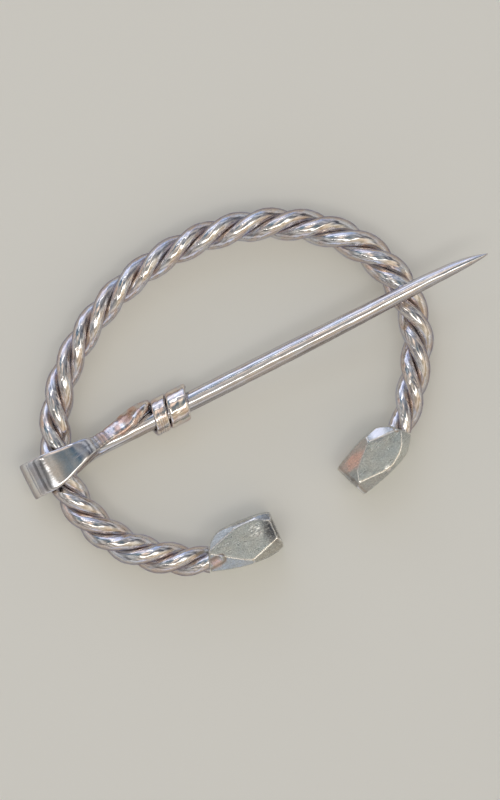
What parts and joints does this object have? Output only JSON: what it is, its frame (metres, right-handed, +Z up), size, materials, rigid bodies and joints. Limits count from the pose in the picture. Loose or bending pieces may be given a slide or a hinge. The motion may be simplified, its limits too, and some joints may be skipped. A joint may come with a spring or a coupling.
{
  "type": "ring brooch",
  "caption": "Open oval ring brooch: a hoop twisted from thick wires with faceted block ends, and a long tapered pin looped loosely round the hoop.",
  "frame": {"origin": "under the middle of the brooch's box, on the surface it lies on", "axes": "+X along the pin from its eye to its tip, +Z up out of the surface, +Y across the hoop, away from the opening between the blocks"},
  "size_m": [0.0656, 0.0423, 0.0075],
  "materials": {
    "wire": "polished silver-coloured metal, a little worn",
    "block": "satin silver-coloured metal with fine scratches on its flat faces",
    "pin": "polished silver-coloured metal, forged"
  },
  "bodies": {
    "ring": {"hoop_wire_1": "wire", "hoop_wire_2": "wire", "hoop_wire_3": "wire", "terminal_left": "block", "terminal_right": "block"},
    "pin": {"pin": "pin"}
  },
  "joints": [
    {"name": "pin_lift", "type": "hinge", "parent": "ring", "child": "pin", "pos_m": [-0.02811, 0.00095, 0.003], "axis": [-0.185, -0.9827, 0], "range_deg": [0, 170]}
  ]
}
